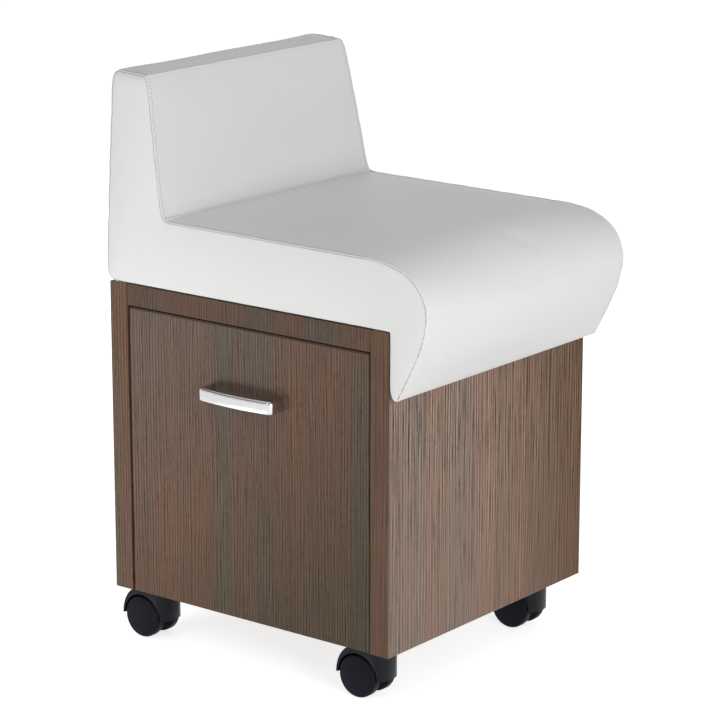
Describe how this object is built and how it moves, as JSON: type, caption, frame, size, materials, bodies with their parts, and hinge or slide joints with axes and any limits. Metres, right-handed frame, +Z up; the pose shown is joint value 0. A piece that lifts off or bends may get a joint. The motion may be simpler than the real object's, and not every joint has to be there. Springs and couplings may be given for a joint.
{
  "type": "manicure stool",
  "caption": "Rolling manicure stool: padded white vinyl seat with a low back and waterfall nose on a wood-laminate cabinet with a deep side drawer and hooded swivel casters.",
  "frame": {"origin": "on the floor, below the middle of the stool's overall box", "axes": "+Z up, -Y is the way the sitter faces, -X is the way the drawer opens"},
  "size_m": [0.3987, 0.4673, 0.6733],
  "materials": {
    "white_vinyl": "soft satin upholstery vinyl with top-stitched seams",
    "cushion_foam": "open-cell polyurethane foam",
    "plywood": "raw plywood",
    "wood_laminate": "brown-grey wood-grain laminate on board, grain upright",
    "drawer_melamine": "pale melamine on board",
    "chrome": "polished chrome",
    "zinc_steel": "zinc-plated steel",
    "black_nylon": "black moulded nylon",
    "wheel_nylon": "black moulded nylon wheel"
  },
  "bodies": {
    "cabinet": {"back_panel": "wood_laminate", "backrest_board": "plywood", "backrest_gusset_left": "plywood", "backrest_gusset_right": "plywood", "bottom_panel": "wood_laminate", "caster_front_left_plate": "zinc_steel", "caster_front_right_plate": "zinc_steel", "caster_rear_left_plate": "zinc_steel", "caster_rear_right_plate": "zinc_steel", "front_panel": "wood_laminate", "front_slide_cabinet_rail": "zinc_steel", "nose_board": "plywood", "rear_slide_cabinet_rail": "zinc_steel", "seat_base_board": "plywood", "seat_cover": "white_vinyl", "seat_foam": "cushion_foam", "seat_screw_1": "zinc_steel", "seat_screw_2": "zinc_steel", "seat_screw_3": "zinc_steel", "seat_screw_4": "zinc_steel", "side_panel": "wood_laminate", "top_panel": "wood_laminate"},
    "drawer": {"drawer_back": "drawer_melamine", "drawer_base": "drawer_melamine", "drawer_front": "wood_laminate", "drawer_front_screw_1": "zinc_steel", "drawer_front_screw_2": "zinc_steel", "drawer_front_screw_3": "zinc_steel", "drawer_front_screw_4": "zinc_steel", "drawer_handle": "chrome", "drawer_side_front": "drawer_melamine", "drawer_side_rear": "drawer_melamine", "drawer_sub_front": "drawer_melamine", "front_slide_drawer_rail": "zinc_steel", "handle_screw_1": "zinc_steel", "handle_screw_2": "zinc_steel", "rear_slide_drawer_rail": "zinc_steel"},
    "front_slide_middle_rail": {"front_slide_middle_rail": "zinc_steel"},
    "front_slide_outer_balls": {"front_slide_outer_balls": "zinc_steel"},
    "front_slide_inner_balls": {"front_slide_inner_balls": "zinc_steel"},
    "rear_slide_middle_rail": {"rear_slide_middle_rail": "zinc_steel"},
    "rear_slide_outer_balls": {"rear_slide_outer_balls": "zinc_steel"},
    "rear_slide_inner_balls": {"rear_slide_inner_balls": "zinc_steel"},
    "caster_front_right_swivel": {"caster_front_right_hood": "black_nylon", "caster_front_right_axle": "zinc_steel"},
    "caster_front_right_right_wheel": {"caster_front_right_right_wheel": "wheel_nylon"},
    "caster_front_right_left_wheel": {"caster_front_right_left_wheel": "wheel_nylon"},
    "caster_front_left_swivel": {"caster_front_left_hood": "black_nylon", "caster_front_left_axle": "zinc_steel"},
    "caster_front_left_right_wheel": {"caster_front_left_right_wheel": "wheel_nylon"},
    "caster_front_left_left_wheel": {"caster_front_left_left_wheel": "wheel_nylon"},
    "caster_rear_right_swivel": {"caster_rear_right_hood": "black_nylon", "caster_rear_right_axle": "zinc_steel"},
    "caster_rear_right_right_wheel": {"caster_rear_right_right_wheel": "wheel_nylon"},
    "caster_rear_right_left_wheel": {"caster_rear_right_left_wheel": "wheel_nylon"},
    "caster_rear_left_swivel": {"caster_rear_left_hood": "black_nylon", "caster_rear_left_axle": "zinc_steel"},
    "caster_rear_left_right_wheel": {"caster_rear_left_right_wheel": "wheel_nylon"},
    "caster_rear_left_left_wheel": {"caster_rear_left_left_wheel": "wheel_nylon"}
  },
  "joints": [
    {"name": "drawer_slide", "type": "slide", "parent": "cabinet", "child": "drawer", "axis": [-1, 0, 0], "range_m": [0, 0.28]},
    {"name": "front_middle_rail_slide", "type": "slide", "parent": "cabinet", "child": "front_slide_middle_rail", "axis": [-1, 0, 0], "range_m": [0, 0.14]},
    {"name": "front_outer_balls_roll", "type": "slide", "parent": "cabinet", "child": "front_slide_outer_balls", "axis": [-1, 0, 0], "range_m": [0, 0.07]},
    {"name": "front_inner_balls_roll", "type": "slide", "parent": "cabinet", "child": "front_slide_inner_balls", "axis": [-1, 0, 0], "range_m": [0, 0.21]},
    {"name": "rear_middle_rail_slide", "type": "slide", "parent": "cabinet", "child": "rear_slide_middle_rail", "axis": [-1, 0, 0], "range_m": [0, 0.14]},
    {"name": "rear_outer_balls_roll", "type": "slide", "parent": "cabinet", "child": "rear_slide_outer_balls", "axis": [-1, 0, 0], "range_m": [0, 0.07]},
    {"name": "rear_inner_balls_roll", "type": "slide", "parent": "cabinet", "child": "rear_slide_inner_balls", "axis": [-1, 0, 0], "range_m": [0, 0.21]},
    {"name": "front_right_swivel", "type": "hinge", "parent": "cabinet", "child": "caster_front_right_swivel", "pos_m": [-0.136, -0.13415, 0.0608], "axis": [0, 0, 1], "continuous": true},
    {"name": "front_right_right_wheel_roll", "type": "hinge", "parent": "caster_front_right_swivel", "child": "caster_front_right_right_wheel", "pos_m": [-0.15085, -0.11515, 0.025], "axis": [1, 0, 0], "continuous": true},
    {"name": "front_right_left_wheel_roll", "type": "hinge", "parent": "caster_front_right_swivel", "child": "caster_front_right_left_wheel", "pos_m": [-0.12115, -0.11515, 0.025], "axis": [1, 0, 0], "continuous": true},
    {"name": "front_left_swivel", "type": "hinge", "parent": "cabinet", "child": "caster_front_left_swivel", "pos_m": [0.155, -0.13415, 0.0608], "axis": [0, 0, 1], "continuous": true},
    {"name": "front_left_right_wheel_roll", "type": "hinge", "parent": "caster_front_left_swivel", "child": "caster_front_left_right_wheel", "pos_m": [0.14015, -0.11515, 0.025], "axis": [1, 0, 0], "continuous": true},
    {"name": "front_left_left_wheel_roll", "type": "hinge", "parent": "caster_front_left_swivel", "child": "caster_front_left_left_wheel", "pos_m": [0.16985, -0.11515, 0.025], "axis": [1, 0, 0], "continuous": true},
    {"name": "rear_right_swivel", "type": "hinge", "parent": "cabinet", "child": "caster_rear_right_swivel", "pos_m": [-0.136, 0.18585, 0.0608], "axis": [0, 0, 1], "continuous": true},
    {"name": "rear_right_right_wheel_roll", "type": "hinge", "parent": "caster_rear_right_swivel", "child": "caster_rear_right_right_wheel", "pos_m": [-0.15085, 0.20485, 0.025], "axis": [1, 0, 0], "continuous": true},
    {"name": "rear_right_left_wheel_roll", "type": "hinge", "parent": "caster_rear_right_swivel", "child": "caster_rear_right_left_wheel", "pos_m": [-0.12115, 0.20485, 0.025], "axis": [1, 0, 0], "continuous": true},
    {"name": "rear_left_swivel", "type": "hinge", "parent": "cabinet", "child": "caster_rear_left_swivel", "pos_m": [0.155, 0.18585, 0.0608], "axis": [0, 0, 1], "continuous": true},
    {"name": "rear_left_right_wheel_roll", "type": "hinge", "parent": "caster_rear_left_swivel", "child": "caster_rear_left_right_wheel", "pos_m": [0.14015, 0.20485, 0.025], "axis": [1, 0, 0], "continuous": true},
    {"name": "rear_left_left_wheel_roll", "type": "hinge", "parent": "caster_rear_left_swivel", "child": "caster_rear_left_left_wheel", "pos_m": [0.16985, 0.20485, 0.025], "axis": [1, 0, 0], "continuous": true}
  ],
  "couplings": [
    {"joint": "front_middle_rail_slide", "follows": "drawer_slide", "ratio": 0.5},
    {"joint": "front_outer_balls_roll", "follows": "drawer_slide", "ratio": 0.25},
    {"joint": "front_inner_balls_roll", "follows": "drawer_slide", "ratio": 0.75},
    {"joint": "rear_middle_rail_slide", "follows": "drawer_slide", "ratio": 0.5},
    {"joint": "rear_outer_balls_roll", "follows": "drawer_slide", "ratio": 0.25},
    {"joint": "rear_inner_balls_roll", "follows": "drawer_slide", "ratio": 0.75}
  ]
}
